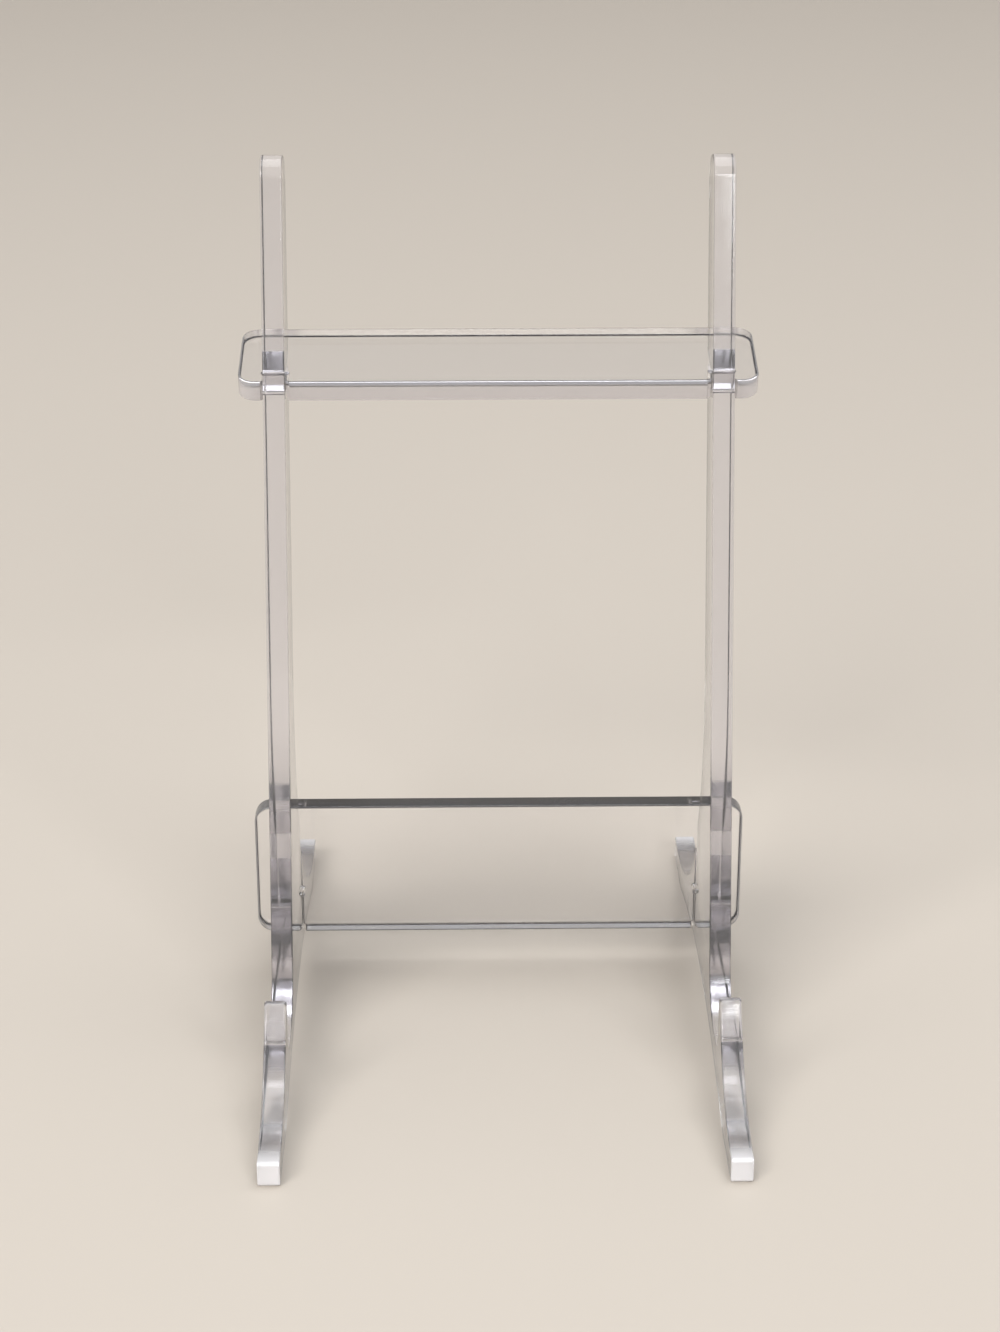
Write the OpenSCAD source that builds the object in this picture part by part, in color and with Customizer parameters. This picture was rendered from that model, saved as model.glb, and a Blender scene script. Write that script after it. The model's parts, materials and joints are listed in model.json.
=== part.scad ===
// Plate display stand that slots together from four pieces of clear sheet: two
// identical side legs and two cross struts. Each leg has a low toe, a lip, a seat
// for the rim of a plate, a leaning upright and a swept heel. The struts join the
// legs by half-lap slots and lift out again, so the stand packs flat.

/* [Sheet] */
// Thickness of the clear sheet
sheet_t = 5; // [3:0.5:8]
// Play on each side of a sheet in its slot
slot_play = 0.1; // [0.05:0.05:0.3]
// Radius of the crack-stopping relief in each inner slot corner
relief_r = 0.6; // [0.3:0.1:1]
// Radius on the outer corners of the legs
edge_r = 1; // [0.5:0.25:2]

/* [Plate seat] */
// Distance between the middles of the two legs
leg_spacing = 102; // [70:1:200]
// Height of the seat above the shelf
seat_h = 11.5; // [10:0.5:20]
// Room for the plate rim between lip and upright
seat_gap = 19.5; // [14:0.5:30]
// Fillet where the seat meets the upright
seat_r = 12; // [4:0.5:14]

/* [Toe and lip] */
// Height of the toe's end face
toe_h = 6; // [4:0.5:9]
// Straight stretch on top of the toe before the scoop
toe_flat = 2; // [2:0.5:10]
// Radius of the scoop between toe and lip
scoop_r = 36; // [35:1:46]
// Distance from the toe's end face to the back of the lip
lip_back = 36.5; // [30:0.5:37]
// Radius of the lip's tip, seen from the side
lip_r = 1.5; // [1:0.25:2.5]
// Radius on the lip's two top corners, seen from the front
lip_corner_r = 1.4; // [0.4:0.1:1.4]
// Fillet between lip and seat
lip_fillet_r = 3; // [1:0.5:5]

/* [Upright] */
// Height of the whole stand
back_h = 200; // [150:5:300]
// Backward lean of the edge that the plate rests on, in degrees
lean = 15; // [8:1:20]
// Width of the upright at the seat
base_w = 19; // [14:1:30]
// Width of the upright at its top
top_w = 13; // [12:0.5:20]
// Radius on the top corners
top_r = 5.5; // [2:0.5:5.5]

/* [Foot] */
// Depth of the stand from toe to heel
depth = 160; // [130:1:220]
// Height of the heel's end face
heel_h = 6; // [4:0.5:9]
// Straight stretch on top of the heel behind the sweep
heel_flat = 8; // [2:1:20]
// Length of each pad that stands on the shelf
pad_l = 20; // [12:1:30]
// Rise of the arch between the pads
arch_h = 8; // [4:0.5:8.5]

/* [Cross struts] */
// Reach of each strut beyond the outer faces of the legs
overhang = 6; // [4:1:20]
// Radius on the corners of the struts
strut_r = 4; // [1:0.5:5]
// Bevel that leads a leg into each notch of a strut
lead_in = 0.8; // [0.4:0.1:1.5]
// Width of the lower strut, which stands upright
lower_w = 34; // [28:1:60]
// Room under the lower strut
lower_clear = 10; // [9:1:16]
// Distance from the start of the sweep to the slot of the lower strut
lower_gap = 5.5; // [3:0.5:12]
// Width of the upper strut
upper_w = 24; // [20:1:40]
// Distance from the top of the stand down to the upper strut
upper_drop = 50; // [30:1:70]
// Gap from the plate's edge of the upright to the upper strut
upper_setback = 3.5; // [2:0.5:5]
// Slope of the upper slots, down towards the plate, in degrees
upper_slope = 15; // [0:1:25]

/* [Hidden] */
$fn = 128;
clear_tint = [0.86, 0.89, 0.92, 0.6];
bite = 0.5; // how far a fillet or a cut runs past the edge that it works on

// All leg points are [distance behind the toe's end face, height above the shelf].
seat_front = [lip_back, seat_h];
seat_back = [lip_back + seat_gap, seat_h];
scoop_c = [toe_flat, toe_h + scoop_r];
lip_reach = lip_back - lip_r - scoop_c.x;
lip_c = [lip_back - lip_r, scoop_c.y - sqrt(pow(scoop_r + lip_r, 2) - pow(lip_reach, 2))];
lip_meets_scoop = scoop_c + (lip_c - scoop_c) * scoop_r / (scoop_r + lip_r);

up = [sin(lean), cos(lean)];
across = [cos(lean), -sin(lean)];
rise = (back_h - seat_h + top_r * (sin(lean) + cos(lean) - 1)) / cos(lean);
top_front = seat_back + rise * up;
top_back = top_front + top_w * across;
back_run = top_back - (seat_back + base_w * across);
back_angle = atan2(back_run.y, back_run.x);
crook = [top_back.x - (top_back.y - heel_h) / tan(back_angle), heel_h];
sweep_run = depth - heel_flat - crook.x;
sweep_r = sweep_run * tan(back_angle / 2);
sweep_c = [depth - heel_flat, heel_h + sweep_r];

arch_half = depth / 2 - pad_l;
arch_r = (pow(arch_half, 2) + pow(arch_h, 2)) / (2 * arch_h);

slot_w = sheet_t + 2 * slot_play;
strut_l = leg_spacing + sheet_t + 2 * overhang;

// The lower slot stands upright and opens into the sweep; half of the lap is in each piece.
lower_at = sweep_c.x - sweep_r * sin(back_angle) + lower_gap + slot_w / 2;
lower_rim = sweep_height(lower_at + slot_w / 2);
lower_lap = hundredths([lower_at, (lower_clear + lower_rim) / 2]);
lower_notch = lower_lap.y - lower_clear;
lower_cut = sweep_height(lower_at - slot_w / 2) - lower_lap.y + bite;

// The upper slot opens at the back edge; half of the upright's width is in it.
upper_h = back_h - upper_drop;
upper_front = seat_back.x + (upper_h - seat_h) * tan(lean);
upper_wide = top_back.x - (top_back.y - upper_h) / tan(back_angle) - upper_front;
upper_lap = hundredths([upper_front + upper_wide / 2, upper_h]);
upper_notch = upper_wide / 2 - upper_setback;

function toward(angle) = [cos(angle), sin(angle)];

// A lap point is kept to whole hundredths, so that the two slot floors on it meet exactly.
function hundredths(p) = [round(p.x * 100) / 100, round(p.y * 100) / 100];

// Height of the swept top edge of a leg at a distance behind the toe
function sweep_height(at) = sweep_c.y - sqrt(pow(sweep_r, 2) - pow(sweep_c.x - at, 2));

// What lies between the corner at p, whose sides run at angles a and b, and the arc
// of radius r that touches both. Added, it fillets a corner; taken away, it rounds one.
module spandrel(p, a, b, r) {
    half = (b - a) / 2;
    middle = toward((a + b) / 2);
    centre = p + middle * r / sin(half);
    difference() {
        polygon([
            p - middle * bite,
            p + toward(a) * r / tan(half),
            centre,
            p + toward(b) * r / tan(half)
        ]);
        translate(centre) circle(r);
    }
}

// Slot with its floor on the X axis, open towards +Y, with a relief in each corner
module slot(length) {
    translate([-slot_w / 2, 0]) square([slot_w, length]);
    for (side = [-1, 1]) translate([side * slot_w / 2, 0]) circle(relief_r);
}

// Straight-sided blank of a leg, from the toe round by the shelf to the lip
module leg_blank() {
    polygon([
        [0, 0],
        [depth, 0],
        [depth, heel_h],
        crook,
        top_back,
        top_front,
        seat_back,
        seat_front,
        [lip_back, lip_c.y],
        lip_c,
        lip_meets_scoop,
        [toe_flat, toe_h],
        [0, toe_h]
    ]);
}

module leg_outline() {
    difference() {
        union() {
            difference() {
                leg_blank();
                translate(scoop_c) circle(scoop_r);
            }
            translate(lip_c) circle(lip_r);
            spandrel(seat_front, 0, 90, lip_fillet_r);
            spandrel(seat_back, 90 - lean, 180, seat_r);
            spandrel(crook, 0, back_angle, sweep_r);
        }
        translate([depth / 2, arch_h - arch_r]) circle(arch_r);
        spandrel([0, 0], 0, 90, edge_r);
        spandrel([0, toe_h], 270, 360, edge_r);
        spandrel([depth, heel_h], 180, 270, edge_r);
        spandrel([depth, 0], 90, 180, edge_r);
        spandrel(top_front, 270 - lean, 360 - lean, top_r);
        spandrel(top_back, 180 - lean, 180 + back_angle, top_r);
        translate(lower_lap) slot(lower_cut);
        translate(upper_lap) rotate(upper_slope - 90) slot(upper_wide);
    }
}

// Takes the lip's top corners off across the sheet, which lies from 0 to sheet_t
module lip_corners() {
    top = lip_c.y + lip_r;
    translate([0, lip_back + bite, 0])
        rotate([90, 0, 0])
            linear_extrude(lip_back - scoop_c.x) {
                spandrel([0, top], 270, 360, lip_corner_r);
                spandrel([sheet_t, top], 180, 270, lip_corner_r);
            }
}

// Leg with the middle of its sheet at x
module side_leg(x) {
    color(clear_tint)
        translate([x - sheet_t / 2, -depth / 2, 0])
            difference() {
                rotate([90, 0, 90]) linear_extrude(sheet_t) leg_outline();
                lip_corners();
            }
}

// Bar with a notch for each leg, open towards -Y, and the floors of the notches on the X axis
module strut_outline(notch, body) {
    difference() {
        translate([-strut_l / 2, -notch]) square([strut_l, notch + body]);
        spandrel([-strut_l / 2, -notch], 0, 90, strut_r);
        spandrel([strut_l / 2, -notch], 90, 180, strut_r);
        spandrel([strut_l / 2, body], 180, 270, strut_r);
        spandrel([-strut_l / 2, body], 270, 360, strut_r);
        for (side = [-1, 1]) translate([side * leg_spacing / 2, 0]) {
            rotate(180) slot(notch + bite);
            polygon([
                [-slot_w / 2 - lead_in - bite, -notch - bite],
                [slot_w / 2 + lead_in + bite, -notch - bite],
                [slot_w / 2 - bite, -notch + lead_in + bite],
                [-slot_w / 2 + bite, -notch + lead_in + bite]
            ]);
        }
    }
}

// Strut whose notch floors lie on the point lap of the leg outline, slid in along slope
module cross_strut(lap, slope, notch, width) {
    color(clear_tint)
        translate([0, lap.x - depth / 2, lap.y])
            rotate([slope, 0, 0])
                linear_extrude(sheet_t, center = true) strut_outline(notch, width - notch);
}

module left_side_leg() side_leg(-leg_spacing / 2);

module right_side_leg() side_leg(leg_spacing / 2);

module lower_cross_strut() cross_strut(lower_lap, 90, lower_notch, lower_w);

module upper_cross_strut() cross_strut(upper_lap, upper_slope, upper_notch, upper_w);

left_side_leg();
right_side_leg();
lower_cross_strut();
upper_cross_strut();
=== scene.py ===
import json
import math

import bmesh
import bpy
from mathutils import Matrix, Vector


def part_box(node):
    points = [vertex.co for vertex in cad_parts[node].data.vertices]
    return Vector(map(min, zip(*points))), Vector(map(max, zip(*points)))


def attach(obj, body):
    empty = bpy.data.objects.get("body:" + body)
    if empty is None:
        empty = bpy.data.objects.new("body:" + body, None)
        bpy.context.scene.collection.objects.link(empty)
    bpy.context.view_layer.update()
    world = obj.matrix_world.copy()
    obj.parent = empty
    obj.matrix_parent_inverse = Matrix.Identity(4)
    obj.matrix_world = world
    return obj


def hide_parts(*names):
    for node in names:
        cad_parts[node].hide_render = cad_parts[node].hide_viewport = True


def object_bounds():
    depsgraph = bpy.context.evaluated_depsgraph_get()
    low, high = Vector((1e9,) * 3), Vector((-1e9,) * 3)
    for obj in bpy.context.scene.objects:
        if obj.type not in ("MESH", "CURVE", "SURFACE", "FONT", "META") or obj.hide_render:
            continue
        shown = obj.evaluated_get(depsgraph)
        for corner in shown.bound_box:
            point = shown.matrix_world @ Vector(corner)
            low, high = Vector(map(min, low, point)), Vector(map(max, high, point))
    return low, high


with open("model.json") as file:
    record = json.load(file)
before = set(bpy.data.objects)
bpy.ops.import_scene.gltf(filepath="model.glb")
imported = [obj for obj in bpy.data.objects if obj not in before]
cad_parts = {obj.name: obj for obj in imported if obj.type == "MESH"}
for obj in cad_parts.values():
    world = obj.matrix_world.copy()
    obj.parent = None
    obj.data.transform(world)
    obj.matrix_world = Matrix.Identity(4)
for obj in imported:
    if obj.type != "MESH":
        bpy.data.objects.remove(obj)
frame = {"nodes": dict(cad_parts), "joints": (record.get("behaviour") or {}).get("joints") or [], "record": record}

bl_info = {
    "name": "Plate display stand",
    "version": (1, 0, 0),
    "blender": (4, 5, 0),
    "location": "3D View > Sidebar > Plate stand",
    "description": "Models the clear sheets of a slot-together plate stand, and its studio",
    "category": "Add Mesh",
}

CAD_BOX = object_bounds()
RECORD = frame["record"]
JOINTS = {joint["name"]: joint for joint in frame["joints"]}
OPENINGS = {gap["name"]: gap["box_m"] for gap in RECORD["physics"]["openings"]}
BODY_OF = {node: body for body, nodes in RECORD["behaviour"]["bodies"].items() for node in nodes}

MM = 0.001
SLOT_ROOM = 1 * MM  # a little more than a slot and its reliefs reach beyond the sheet that lies in it
LIP_TIP = 2.5 * MM  # height of the top part of a lip, all of which is softened most
CREASE = math.radians(32)  # edges that turn less than this are shaded smooth

# The CAD meshes are merged, cut and cleared of spare points within these limits.
SAME_POINT = 0.0005 * MM
SAME_PLANE = math.radians(0.05)
ON_THE_CUT = 0.0001 * MM
SHORTEST_STEP = 0.004 * MM
STRAIGHT_ON = math.radians(0.1)
SAME_LENGTH = 0.01  # as a share of the length
ARC_TURNS = (math.radians(0.2), math.radians(50))  # least and most turn between two steps of an arc
COARSEST_STEP = 2 * math.acos(0.9)

# The clear sheet and the marks on it
REFRACTION = 1.49
SCRATCH_TURNS = ((0.5, 0.2, 0.9), (-0.9, 0.7, -0.3))  # the two ways in which the faces were wiped
SCRATCH_SPACING = 0.16 * MM
SCRATCH_LENGTH = 24 * MM
SCUFF_GRAIN = 1.3 * MM
SCUFF_REACH = 24 * MM
CUTTER_PITCH = 0.55 * MM

FLOOR_DROP = 0.02 * MM  # keeps the floor and the feet from sharing a plane

# The points of a leg that the picture is fitted to, as shares of the stand's depth and height:
# the foot of the toe, the top of the lip and the top of the upright.
FITTED = ((0.0, 0.0), (0.25, 0.13), (0.75, 1.0))

# The lamps: name, place, what they shine at, width and height, power in watts, and colour
LAMPS = (
    ("key", (-1.3, -2.0, 1.9), (0, 0, 0.06), (1.5, 1.2), 55.0, (1.0, 0.985, 0.96)),
    ("window", (0.9, -2.5, 1.4), (0, 0, 0.06), (1.2, 0.8), 36.0, (0.96, 0.98, 1.0)),
    ("top", (0.2, 0.5, 3.0), (0, 0.3, 0), (2.4, 2.4), 48.0, (0.98, 0.99, 1.0)),
)

LEG_LOW, LEG_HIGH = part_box("left_side_leg")
SHEET_T = LEG_HIGH.x - LEG_LOW.x
ACROSS_AXIS, BACKWARD_AXIS = 0, 1  # the places of X and Y in a vector
ACROSS = Vector((1, 0, 0))
BACKWARD = Vector((0, 1, 0))
UPPER_WAY = Vector(JOINTS["upper_strut_draw"]["axis"]).normalized()
NORMALS = {
    "left_side_leg": ACROSS,
    "right_side_leg": ACROSS,
    "lower_cross_strut": BACKWARD,
    "upper_cross_strut": ACROSS.cross(UPPER_WAY),
}


# ---------------------------------------------------------------- properties


class StandSheetSettings(bpy.types.PropertyGroup):
    """How the cut sheets are finished"""

    edge_round: bpy.props.FloatProperty(
        name="Edge round",
        description="Radius that flame polishing leaves along every cut edge",
        default=0.4 * MM,
        unit="LENGTH",
    )
    slot_round: bpy.props.FloatProperty(
        name="Slot round",
        description="Radius of the edges inside the slots, which the flame can't reach",
        default=0.12 * MM,
        unit="LENGTH",
    )
    lip_round: bpy.props.FloatProperty(
        name="Lip round",
        description="Radius of the same edges at the very top of a lip, where they are rubbed softer",
        default=0.7 * MM,
        unit="LENGTH",
    )
    round_steps: bpy.props.IntProperty(
        name="Round steps", description="Faces across each rounded edge", default=4
    )
    chord_error: bpy.props.FloatProperty(
        name="Chord error",
        description="How far a straight step may lie inside the arc that it follows",
        default=0.004 * MM,
        unit="LENGTH",
    )


class StandFinishSettings(bpy.types.PropertyGroup):
    """Colours and gloss of the clear sheet"""

    depth_tint: bpy.props.FloatVectorProperty(
        name="Depth tint",
        description="Colour that the sheet takes on where it is seen edge-on",
        default=(0.74, 0.705, 0.775),
        subtype="COLOR",
    )
    depth_density: bpy.props.FloatProperty(
        name="Depth density", description="How fast that colour builds up", default=15.0
    )
    # The edge colour is the edges' own faint frost, and towards the ends it also shows as a painted glow.
    edge_colour: bpy.props.FloatVectorProperty(
        name="Edge colour",
        description="Colour of light scattered by the cut edges",
        default=(0.955, 0.95, 0.97),
        subtype="COLOR",
    )
    edge_clearness: bpy.props.FloatProperty(
        name="Edge clearness",
        description="Share of light that goes through a cut edge",
        default=0.94,
        subtype="FACTOR",
    )
    # A low clearness paints the toe and heel ends a milky white: a painted glow that stands in for light piped
    # along the sheet.
    painted_toe_glow_clearness: bpy.props.FloatProperty(
        name="Toe clearness",
        description="Share of light that goes through the ends of toes and heels, which glow",
        default=0.42,
        subtype="FACTOR",
    )
    # Likewise a painted glow, fainter, at the ends of the struts.
    painted_strut_end_glow_clearness: bpy.props.FloatProperty(
        name="Strut end clearness",
        description="Share of light that goes through the ends of the struts",
        default=0.82,
        subtype="FACTOR",
    )
    scratch_roughness: bpy.props.FloatProperty(
        name="Scratch roughness",
        description="Roughness that a hairline scratch adds to a face",
        default=0.12,
        subtype="FACTOR",
    )
    end_roughness: bpy.props.FloatProperty(
        name="End roughness",
        description="Roughness that an edge gains towards the ends of a piece",
        default=0.14,
        subtype="FACTOR",
    )
    scuff_roughness: bpy.props.FloatProperty(
        name="Scuff roughness",
        description="Roughness that a scuff from a plate adds to the seat",
        default=0.3,
        subtype="FACTOR",
    )
    # The painted glow at the ends and the added roughness there both fade in over this distance.
    end_fade: bpy.props.FloatProperty(
        name="End fade",
        description="Distance from an end over which an edge turns from clear to glowing",
        default=8 * MM,
        unit="LENGTH",
    )


class StandStageSettings(bpy.types.PropertyGroup):
    """The studio around the stand"""

    floor_colour: bpy.props.FloatVectorProperty(
        name="Floor colour",
        description="Colour of the plain floor",
        default=(0.56, 0.51, 0.45),
        subtype="COLOR",
    )
    floor_reach: bpy.props.FloatProperty(
        name="Floor reach",
        description="Distance from the stand to where the floor has curved up into a wall",
        default=4.0,
        unit="LENGTH",
    )
    room_colour: bpy.props.FloatVectorProperty(
        name="Room colour",
        description="Colour of the light that comes from all round",
        default=(0.40, 0.40, 0.41),
        subtype="COLOR",
    )
    camera_ahead: bpy.props.FloatProperty(
        name="Camera ahead",
        description="Distance of the lens in front of the toes",
        default=485 * MM,
        unit="LENGTH",
    )
    camera_height: bpy.props.FloatProperty(
        name="Camera height",
        description="Height of the lens above the floor",
        default=321 * MM,
        unit="LENGTH",
    )
    camera_aside: bpy.props.FloatProperty(
        name="Camera aside",
        description="Distance of the lens to the left of the stand's middle",
        default=8.8 * MM,
        unit="LENGTH",
    )
    fill: bpy.props.FloatProperty(
        name="Fill",
        description="Share of the picture's height that the stand takes",
        default=0.78,
        subtype="FACTOR",
    )


# ---------------------------------------------------------------- materials


def node(tree, kind, **values):
    """Adds a shader node. Each value is for a property or an input of it, whose spaces are written _."""
    made = tree.nodes.new(kind)
    for key, value in values.items():
        socket = made.inputs.get(key.replace("_", " "))
        if socket is None:
            setattr(made, key, value)
        else:
            socket.default_value = value
    return made


def hairlines(tree, place, turn):
    """Fine straight scratches: noise drawn out along one way and cut off above a level. Gives 0 to 1."""
    mapping = node(tree, "ShaderNodeMapping", Rotation=turn)
    mapping.inputs["Scale"].default_value = (1 / SCRATCH_LENGTH, 1 / SCRATCH_SPACING, 1 / SCRATCH_LENGTH)
    noise = node(tree, "ShaderNodeTexNoise", Scale=1.0, Detail=1.0, Roughness=0.4)
    level = node(tree, "ShaderNodeMapRange", From_Min=0.70, From_Max=0.76)
    tree.links.new(place, mapping.inputs["Vector"])
    tree.links.new(mapping.outputs["Vector"], noise.inputs["Vector"])
    tree.links.new(noise.outputs["Fac"], level.inputs["Value"])
    return level.outputs["Result"]


def clear_output(tree, shader, finish):
    """Ends a clear material, with the tint that depth gives it."""
    depth = node(tree, "ShaderNodeVolumeAbsorption", Density=finish.depth_density)
    depth.inputs["Color"].default_value = (*finish.depth_tint, 1)
    output = node(tree, "ShaderNodeOutputMaterial")
    tree.links.new(shader, output.inputs["Surface"])
    tree.links.new(depth.outputs[0], output.inputs["Volume"])


def new_material(name):
    """An empty node material."""
    material = bpy.data.materials.new(name)
    material.use_nodes = True
    material.node_tree.nodes.clear()
    return material, material.node_tree


def polished_face(finish):
    """The faces as the sheet was cast: clear, with hairline scratches and a faint haze from handling."""
    material, tree = new_material("polished_sheet_face")
    place = node(tree, "ShaderNodeTexCoord").outputs["Object"]
    haze = node(tree, "ShaderNodeTexNoise", Scale=38.0, Detail=4.0, Roughness=0.62)
    haze_level = node(tree, "ShaderNodeMapRange", From_Min=0.45, From_Max=0.8, To_Min=0.0, To_Max=0.035)
    tree.links.new(place, haze.inputs["Vector"])
    tree.links.new(haze.outputs["Fac"], haze_level.inputs["Value"])
    scratches = node(tree, "ShaderNodeMath", operation="MAXIMUM")
    for socket, turn in zip(scratches.inputs, SCRATCH_TURNS):
        tree.links.new(hairlines(tree, place, turn), socket)
    rough = weighted(tree, scratches.outputs[0], finish.scratch_roughness, haze_level.outputs["Result"])
    bump = node(tree, "ShaderNodeBump", Strength=0.12, Distance=0.01 * MM)
    tree.links.new(scratches.outputs[0], bump.inputs["Height"])
    shader = node(tree, "ShaderNodeBsdfPrincipled", IOR=REFRACTION, Transmission_Weight=1.0)
    shader.inputs["Base Color"].default_value = (1, 1, 1, 1)
    tree.links.new(rough, shader.inputs["Roughness"])
    tree.links.new(bump.outputs["Normal"], shader.inputs["Normal"])
    clear_output(tree, shader.outputs[0], finish)
    return material


def scuffs(tree, along, where):
    """Short rubbed marks round a place on an edge, which fade out at SCUFF_REACH. Gives 0 to 1."""
    away = node(tree, "ShaderNodeVectorMath", operation="DISTANCE")
    away.inputs[1].default_value = where
    near = node(tree, "ShaderNodeMapRange", From_Min=SCUFF_REACH, From_Max=0.3 * SCUFF_REACH)
    marks = node(tree, "ShaderNodeTexNoise", Scale=1 / SCUFF_GRAIN, Detail=5.0, Roughness=0.7)
    level = node(tree, "ShaderNodeMapRange", From_Min=0.5, From_Max=0.72)
    both = node(tree, "ShaderNodeMath", operation="MULTIPLY")
    tree.links.new(along, away.inputs[0])
    tree.links.new(away.outputs["Value"], near.inputs["Value"])
    tree.links.new(along, marks.inputs["Vector"])
    tree.links.new(marks.outputs["Fac"], level.inputs["Value"])
    tree.links.new(near.outputs["Result"], both.inputs[0])
    tree.links.new(level.outputs["Result"], both.inputs[1])
    return both.outputs[0]


def toward_ends(tree, place, axis, half, fade):
    """How near a place is to the ends of a piece along an axis: 0 until fade short of them, 1 at them."""
    parts = node(tree, "ShaderNodeSeparateXYZ")
    out = node(tree, "ShaderNodeMath", operation="ABSOLUTE")
    near = node(
        tree, "ShaderNodeMapRange", interpolation_type="SMOOTHSTEP", From_Min=half - fade, From_Max=half
    )
    tree.links.new(place, parts.inputs[0])
    tree.links.new(parts.outputs[axis], out.inputs[0])
    tree.links.new(out.outputs[0], near.inputs["Value"])
    return near.outputs["Result"]


def weighted(tree, value, weight, base):
    """base + weight * value."""
    total = node(tree, "ShaderNodeMath", operation="MULTIPLY_ADD")
    total.inputs[1].default_value = weight
    tree.links.new(value, total.inputs[0])
    if isinstance(base, float):
        total.inputs[2].default_value = base
    else:
        tree.links.new(base, total.inputs[2])
    return total.outputs[0]


def cut_edge(name, normal, finish, ends, rubbed=None):
    """A cut edge, with fine lines straight across the sheet, which flame polishing has softened.

    Towards its ends the edge is made milkier, a painted glow that stands in for light the sheet gathers
    and sends out there. ends is their axis, half the length between them, and the share of light that
    still goes through them. rubbed is the middle of a seat, where the rim of a plate has scuffed the edge.
    """
    material, tree = new_material(name)
    place = node(tree, "ShaderNodeTexCoord").outputs["Object"]
    # The share of a place that lies through the sheet is taken out, so the lines run straight across.
    flat = node(tree, "ShaderNodeVectorMath", operation="PROJECT")
    flat.inputs[1].default_value = normal
    along = node(tree, "ShaderNodeVectorMath", operation="SUBTRACT")
    tree.links.new(place, flat.inputs[0])
    tree.links.new(place, along.inputs[0])
    tree.links.new(flat.outputs[0], along.inputs[1])
    lines = node(tree, "ShaderNodeTexNoise", Scale=1 / CUTTER_PITCH, Detail=3.0, Roughness=0.6)
    tree.links.new(along.outputs[0], lines.inputs["Vector"])
    bump = node(tree, "ShaderNodeBump", Strength=0.35, Distance=0.02 * MM)
    tree.links.new(lines.outputs["Fac"], bump.inputs["Height"])

    patches = node(tree, "ShaderNodeTexNoise", Scale=160.0, Detail=3.0, Roughness=0.6)
    tree.links.new(place, patches.inputs["Vector"])
    gloss = node(tree, "ShaderNodeMapRange", From_Min=0.3, From_Max=0.7, To_Min=0.04, To_Max=0.14)
    tree.links.new(patches.outputs["Fac"], gloss.inputs["Value"])
    # Towards the ends the edge gets rougher and less clear, so more of the white edge colour shows as a painted
    # glow.
    axis, half, painted_glow_clearness = ends
    near_end_roughness_and_painted_glow = toward_ends(tree, place, axis, half, finish.end_fade)
    rough = weighted(tree, near_end_roughness_and_painted_glow, finish.end_roughness, gloss.outputs["Result"])
    if rubbed:
        rough = weighted(tree, scuffs(tree, along.outputs[0], rubbed), finish.scuff_roughness, rough)
    # Painted glow: the clearness falls towards the ends, so the white edge colour shows more there.
    clear = weighted(tree, near_end_roughness_and_painted_glow, painted_glow_clearness - finish.edge_clearness, finish.edge_clearness)

    shader = node(tree, "ShaderNodeBsdfPrincipled", IOR=REFRACTION)
    shader.inputs["Base Color"].default_value = (*finish.edge_colour, 1)
    tree.links.new(clear, shader.inputs["Transmission Weight"])
    tree.links.new(rough, shader.inputs["Roughness"])
    tree.links.new(bump.outputs["Normal"], shader.inputs["Normal"])
    clear_output(tree, shader.outputs[0], finish)
    return material


def floor_finish(colour):
    """Plain matt floor with a barely visible mottle."""
    material, tree = new_material("plain_floor")
    place = node(tree, "ShaderNodeTexCoord").outputs["Object"]
    noise = node(tree, "ShaderNodeTexNoise", Scale=900.0, Detail=3.0, Roughness=0.6)
    bump = node(tree, "ShaderNodeBump", Strength=0.06, Distance=0.05 * MM)
    shader = node(tree, "ShaderNodeBsdfPrincipled", Roughness=0.6)
    shader.inputs["Base Color"].default_value = (*colour, 1)
    output = node(tree, "ShaderNodeOutputMaterial")
    tree.links.new(place, noise.inputs["Vector"])
    tree.links.new(noise.outputs["Fac"], bump.inputs["Height"])
    tree.links.new(bump.outputs["Normal"], shader.inputs["Normal"])
    tree.links.new(shader.outputs[0], output.inputs["Surface"])
    return material


# ---------------------------------------------------------------- outlines


def section(node_name, centre, normal):
    """The closed line along which a plane cuts a CAD node, as points in order."""
    mesh = bmesh.new()
    mesh.from_mesh(frame["nodes"][node_name].data)
    bmesh.ops.remove_doubles(mesh, verts=mesh.verts, dist=SAME_POINT)
    bmesh.ops.dissolve_limit(mesh, angle_limit=SAME_PLANE, verts=mesh.verts, edges=mesh.edges)
    parts = mesh.verts[:] + mesh.edges[:] + mesh.faces[:]
    cut = bmesh.ops.bisect_plane(mesh, geom=parts, dist=ON_THE_CUT, plane_co=centre, plane_no=normal)
    edges = [e for e in cut["geom_cut"] if isinstance(e, bmesh.types.BMEdge)]
    nexts = {}
    for edge in edges:
        a, b = edge.verts
        nexts.setdefault(a, []).append(b)
        nexts.setdefault(b, []).append(a)
    first = next(iter(nexts))
    loop, before, here = [first.co.copy()], first, nexts[first][0]
    while here is not first:
        loop.append(here.co.copy())
        onward = [v for v in nexts[here] if v is not before]
        before, here = here, onward[0]
    mesh.free()
    if len(loop) != len(nexts):
        raise RuntimeError(f"{node_name}: its section is more than one line")
    return loop


def turn_at(before, here, after, normal):
    """How far a line turns at a point, in radians, counted left about normal."""
    a, b = here - before, after - here
    return math.atan2(a.cross(b).dot(normal), a.dot(b))


def without_spare_points(loop, normal):
    """Leaves out points that lie on another one, and points that a straight line goes through."""
    apart = [p for i, p in enumerate(loop) if (p - loop[i - 1]).length > SHORTEST_STEP]
    count = len(apart)
    return [
        apart[i]
        for i in range(count)
        if abs(turn_at(apart[i - 1], apart[i], apart[(i + 1) % count], normal)) > STRAIGHT_ON
    ]


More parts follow.
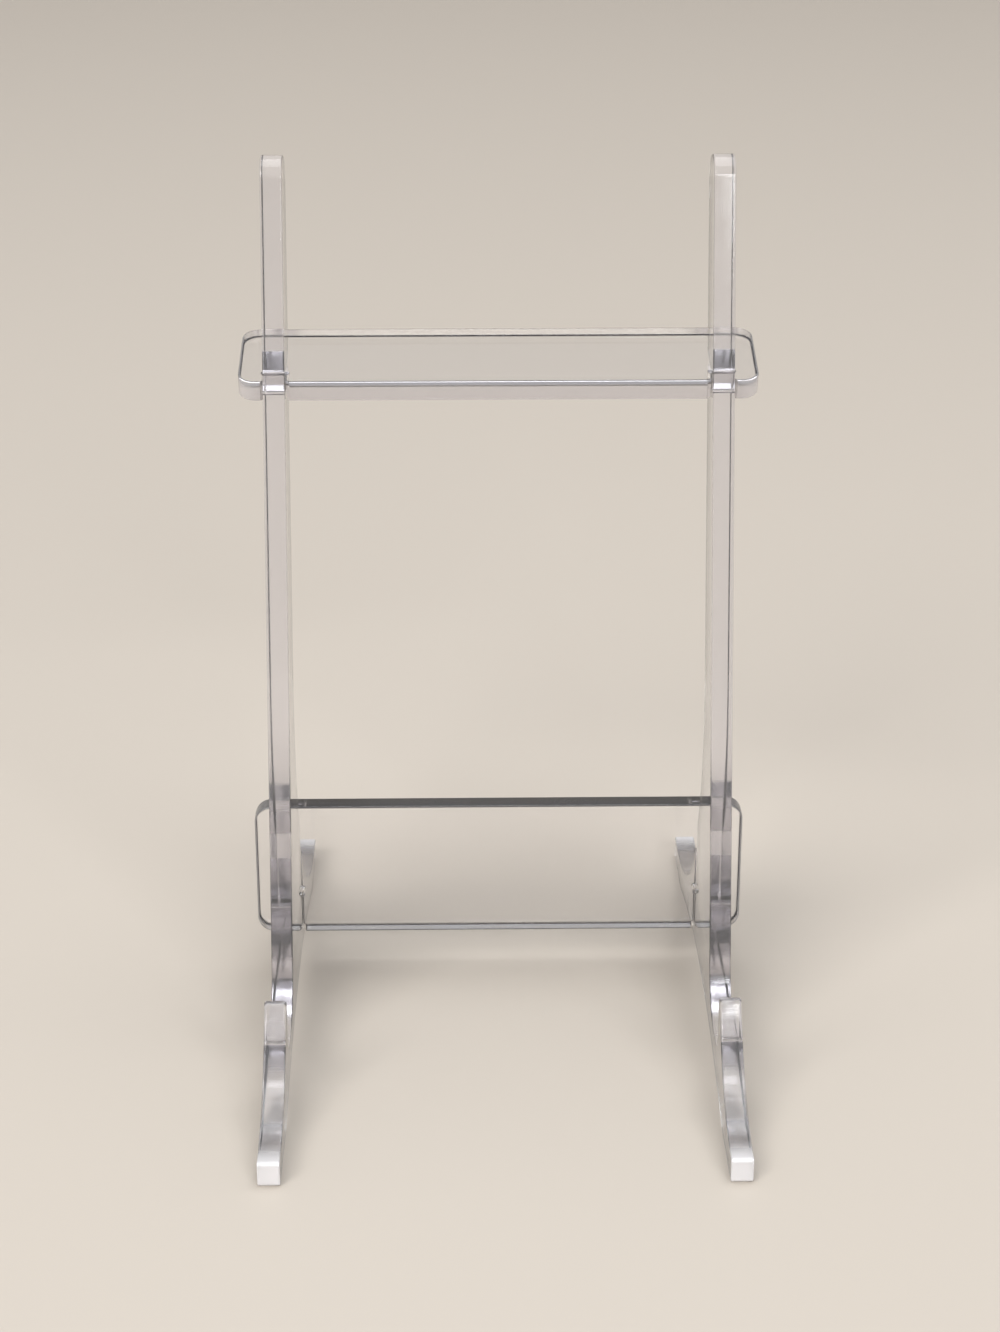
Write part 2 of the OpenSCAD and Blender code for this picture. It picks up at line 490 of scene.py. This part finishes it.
def with_true_arcs(loop, normal, chord_error):
    """Puts more points on each arc: a run of equal steps with equal turns between them."""
    count = len(loop)
    lengths = [(loop[(i + 1) % count] - loop[i]).length for i in range(count)]
    turns = [turn_at(loop[i - 1], loop[i], loop[(i + 1) % count], normal) for i in range(count)]

    def turn_of_step(i):
        """The arc angle of step i, from a neighbour of the same length, or 0 on a straight."""
        after = (i + 1) % count
        for neighbour, shared in ((i - 1, i), (after, after)):
            same = abs(lengths[neighbour] - lengths[i]) < SAME_LENGTH * lengths[i]
            if same and ARC_TURNS[0] < abs(turns[shared]) < ARC_TURNS[1]:
                return turns[shared]
        return 0.0

    finer = []
    for i in range(count):
        start, end, turn = loop[i], loop[(i + 1) % count], turn_of_step(i)
        finer.append(start)
        if not turn:
            continue
        radius = lengths[i] / (2 * math.sin(abs(turn) / 2))
        step = min(2 * math.acos(max(1 - chord_error / radius, 0)), COARSEST_STEP)
        pieces = math.ceil(abs(turn) / step)
        inward = normal.cross(end - start).normalized() * math.copysign(1, turn)
        centre = (start + end) / 2 + inward * radius * math.cos(turn / 2)
        arm = start - centre
        side = normal.cross(arm)
        for k in range(1, pieces):
            angle = turn * k / pieces
            finer.append(centre + arm * math.cos(angle) + side * math.sin(angle))
    return finer


# ---------------------------------------------------------------- modelling


def select_only(obj):
    """Makes obj the one selected and active object."""
    bpy.ops.object.select_all(action="DESELECT")
    obj.select_set(True)
    bpy.context.view_layer.objects.active = obj


def crossing_sheets(node_name):
    """The normal and the box, a little enlarged, of each sheet that crosses a CAD node's sheet."""
    room = Vector((SLOT_ROOM, SLOT_ROOM, SLOT_ROOM))
    others = [other for other, normal in NORMALS.items() if abs(normal.dot(NORMALS[node_name])) < 0.5]
    boxes = [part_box(other) for other in others]
    return [(NORMALS[other], low - room, high + room) for other, (low, high) in zip(others, boxes)]


def in_a_slot(place, crossing):
    """True for a place that lies in the slot of one of the crossing sheets."""
    for normal, low, high in crossing:
        away = abs((place - (low + high) / 2).dot(normal))
        if away < SHEET_T / 2 + SLOT_ROOM and all(low[i] < place[i] < high[i] for i in range(3)):
            return True
    return False


def cut_sheet(node_name, softness):
    """Cuts a CAD node's outline from sheet, and rounds its edges by softness(place), in metres."""
    settings = bpy.context.scene.stand_sheet
    name, normal = node_name + "_sheet", NORMALS[node_name]
    low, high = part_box(node_name)
    loop = without_spare_points(section(node_name, (low + high) / 2, normal), normal)
    loop = with_true_arcs(loop, normal, settings.chord_error)
    if sum(a.cross(b).dot(normal) for a, b in zip(loop, loop[1:] + loop[:1])) > 0:
        loop.reverse()
    mesh = bpy.data.meshes.new(name)
    mesh.from_pydata([p - normal * SHEET_T / 2 for p in loop], [], [range(len(loop))])
    obj = bpy.data.objects.new(name, mesh)
    bpy.context.scene.collection.objects.link(obj)
    select_only(obj)
    bpy.ops.object.mode_set(mode="EDIT")
    bpy.ops.mesh.select_all(action="SELECT")
    bpy.ops.mesh.extrude_region_move(TRANSFORM_OT_translate={"value": normal * SHEET_T})
    bpy.ops.mesh.select_all(action="SELECT")
    bpy.ops.mesh.normals_make_consistent(inside=False)
    bpy.ops.object.mode_set(mode="OBJECT")

    most = max(settings.edge_round, settings.lip_round)
    crossing = crossing_sheets(node_name)
    weights = mesh.attributes.new("bevel_weight_edge", "FLOAT", "EDGE")
    for edge in mesh.edges:
        a, b = (mesh.vertices[v].co for v in edge.vertices)
        place = (a + b) / 2
        if abs((b - a).dot(normal)) < SHEET_T / 2:
            radius = settings.slot_round if in_a_slot(place, crossing) else softness(place)
            weights.data[edge.index].value = radius / most
    bevel = obj.modifiers.new("Rounded edges", "BEVEL")
    bevel.width = most
    bevel.segments = settings.round_steps
    bevel.limit_method = "WEIGHT"
    bevel.use_clamp_overlap = False
    bpy.ops.object.modifier_apply(modifier=bevel.name)
    bpy.ops.object.shade_smooth_by_angle(angle=CREASE)
    smooth = obj.modifiers.new("Flat faces", "WEIGHTED_NORMAL")
    smooth.keep_sharp = True
    smooth.weight = 100
    bpy.ops.object.modifier_apply(modifier=smooth.name)
    return obj


def finish_sheet(obj, node_name, face, edge):
    """Gives a sheet its two finishes and its place in the frame."""
    normal = NORMALS[node_name]
    obj.data.materials.append(face)
    obj.data.materials.append(edge)
    for polygon in obj.data.polygons:
        polygon.material_index = 0 if abs(polygon.normal.dot(normal)) > 0.9999 else 1
    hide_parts(node_name)
    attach(obj, BODY_OF[node_name])


class STAND_OT_side_legs(bpy.types.Operator):
    """Model the two side legs with their rounded edges and softened lips"""

    bl_idname = "stand.side_legs"
    bl_label = "Side legs"

    def execute(self, context):
        settings, finish = context.scene.stand_sheet, context.scene.stand_finish
        gap_low, gap_high = (Vector(corner) for corner in OPENINGS["plate_rim_gap"])

        def softness(place):
            """Edges grow rounder up the lip, which stands in front of the gap for the rim."""
            if place.y > gap_low.y or place.z < gap_low.z:
                return settings.edge_round
            up = min((place.z - gap_low.z) / (gap_high.z - LIP_TIP - gap_low.z), 1.0)
            return settings.edge_round + (settings.lip_round - settings.edge_round) * up

        seat = Vector((0, (gap_low.y + gap_high.y) / 2, gap_low.z))
        # The toe and heel ends get the painted glow.
        ends = (BACKWARD_AXIS, LEG_HIGH.y, finish.painted_toe_glow_clearness)
        face = polished_face(finish)
        edge = cut_edge("cut_leg_edge", ACROSS, finish, ends, seat)
        for node_name in ("left_side_leg", "right_side_leg"):
            finish_sheet(cut_sheet(node_name, softness), node_name, face, edge)
        return {"FINISHED"}


class STAND_OT_cross_struts(bpy.types.Operator):
    """Model the two cross struts with their notches"""

    bl_idname = "stand.cross_struts"
    bl_label = "Cross struts"

    def execute(self, context):
        settings, finish = context.scene.stand_sheet, context.scene.stand_finish
        face = bpy.data.materials.get("polished_sheet_face") or polished_face(finish)
        for node_name in ("lower_cross_strut", "upper_cross_strut"):
            # The strut ends get a fainter painted glow.
            ends = (ACROSS_AXIS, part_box(node_name)[1].x, finish.painted_strut_end_glow_clearness)
            edge = cut_edge(f"cut_{node_name}_edge", NORMALS[node_name], finish, ends)
            sheet = cut_sheet(node_name, lambda place: settings.edge_round)
            finish_sheet(sheet, node_name, face, edge)
        return {"FINISHED"}


# ---------------------------------------------------------------- stage


def soft_box(name, place, aim, size, power, colour):
    """A large rectangular lamp that shines from place towards aim."""
    lamp = bpy.data.lights.new(name, "AREA")
    lamp.shape = "RECTANGLE"
    lamp.size, lamp.size_y = size
    lamp.energy = power
    lamp.color = colour
    obj = bpy.data.objects.new(name, lamp)
    obj.location = place
    obj.rotation_euler = (Vector(aim) - Vector(place)).to_track_quat("-Z", "Y").to_euler()
    bpy.context.scene.collection.objects.link(obj)


def add_camera(stage):
    """Looks at the stand from close by, a little to the left and from above."""
    low, high = CAD_BOX
    place = Vector((-stage.camera_aside, low[1] - stage.camera_ahead, stage.camera_height))
    size = [b - a for a, b in zip(low, high)]
    corners = [
        Vector((x, low[1] + share_y * size[1], low[2] + share_z * size[2]))
        for x in (low[0], high[0])
        for share_y, share_z in FITTED
    ]
    downs = [math.atan2(place.z - corner.z, corner.y - place.y) for corner in corners]
    middle = (min(downs) + max(downs)) / 2
    aside = math.atan2(stage.camera_aside, -place.y)
    camera = bpy.data.cameras.new("camera")
    camera.sensor_width = 36.0
    half = math.tan((max(downs) - min(downs)) / 2) / stage.fill
    camera.lens = camera.sensor_width / 2 / half
    obj = bpy.data.objects.new("camera", camera)
    obj.location = place
    obj.rotation_euler = (math.pi / 2 - middle, 0, -aside)
    bpy.context.scene.collection.objects.link(obj)
    bpy.context.scene.camera = obj


def lay_floor(stage):
    """A round floor whose rim is drawn up, and the fold between them rounded into a cove."""
    bpy.ops.object.select_all(action="DESELECT")
    bpy.ops.mesh.primitive_circle_add(
        vertices=96, radius=stage.floor_reach, fill_type="NGON", location=(0, 0, -FLOOR_DROP)
    )
    floor = bpy.context.active_object
    floor.name = "floor"
    bpy.ops.object.transform_apply(location=True, rotation=False, scale=False)
    bpy.ops.object.mode_set(mode="EDIT")
    bpy.ops.mesh.select_mode(type="EDGE")
    bpy.ops.mesh.select_all(action="SELECT")
    bpy.ops.mesh.region_to_loop()
    bpy.ops.mesh.extrude_region_move(TRANSFORM_OT_translate={"value": (0, 0, 0.5 * stage.floor_reach)})
    bpy.ops.object.mode_set(mode="OBJECT")
    weights = floor.data.attributes.new("bevel_weight_edge", "FLOAT", "EDGE")
    for edge in floor.data.edges:
        fold = all(floor.data.vertices[v].co.z < 0 for v in edge.vertices)
        weights.data[edge.index].value = 1.0 if fold else 0.0
    bevel = floor.modifiers.new("Cove", "BEVEL")
    bevel.width = 0.45 * stage.floor_reach
    bevel.segments = 20
    bevel.limit_method = "WEIGHT"
    bpy.ops.object.modifier_apply(modifier=bevel.name)
    bpy.ops.object.shade_smooth()
    floor.data.materials.append(floor_finish(stage.floor_colour))


def fill_room(colour):
    """An even light from all round."""
    world = bpy.data.worlds.new("room")
    world.use_nodes = True
    world.node_tree.nodes["Background"].inputs["Color"].default_value = (*colour, 1)
    bpy.context.scene.world = world


class STAND_OT_stage(bpy.types.Operator):
    """Lay the floor and set the soft lamps and the camera"""

    bl_idname = "stand.stage"
    bl_label = "Stage"

    def execute(self, context):
        stage = context.scene.stand_stage
        lay_floor(stage)
        fill_room(stage.room_colour)
        for lamp in LAMPS:
            soft_box(*lamp)
        add_camera(stage)
        context.scene.view_settings.view_transform = "Standard"
        return {"FINISHED"}


# ---------------------------------------------------------------- add-on


class STAND_PT_sidebar(bpy.types.Panel):
    """Lists what the stand is made of"""

    bl_idname = "STAND_PT_sidebar"
    bl_label = "Plate stand"
    bl_space_type = "VIEW_3D"
    bl_region_type = "UI"
    bl_category = "Plate stand"

    def draw(self, context):
        for operator in PIECES:
            self.layout.operator(operator.bl_idname)
        for group_name, group in GROUPS.items():
            box = self.layout.box()
            for name in group.__annotations__:
                box.prop(getattr(context.scene, group_name), name)


PIECES = (STAND_OT_side_legs, STAND_OT_cross_struts, STAND_OT_stage)
GROUPS = {
    "stand_sheet": StandSheetSettings,
    "stand_finish": StandFinishSettings,
    "stand_stage": StandStageSettings,
}


def register():
    """Adds the classes, and their settings to every scene."""
    for cls in (*GROUPS.values(), *PIECES, STAND_PT_sidebar):
        bpy.utils.register_class(cls)
    for name, group in GROUPS.items():
        setattr(bpy.types.Scene, name, bpy.props.PointerProperty(type=group))


def unregister():
    """Takes them away again."""
    for name in GROUPS:
        delattr(bpy.types.Scene, name)
    for cls in reversed((*GROUPS.values(), *PIECES, STAND_PT_sidebar)):
        bpy.utils.unregister_class(cls)


def main():
    """Models the stand and its stage."""
    register()
    bpy.ops.stand.side_legs()
    bpy.ops.stand.cross_struts()
    bpy.ops.stand.stage()


if __name__ == "__main__":
    main()
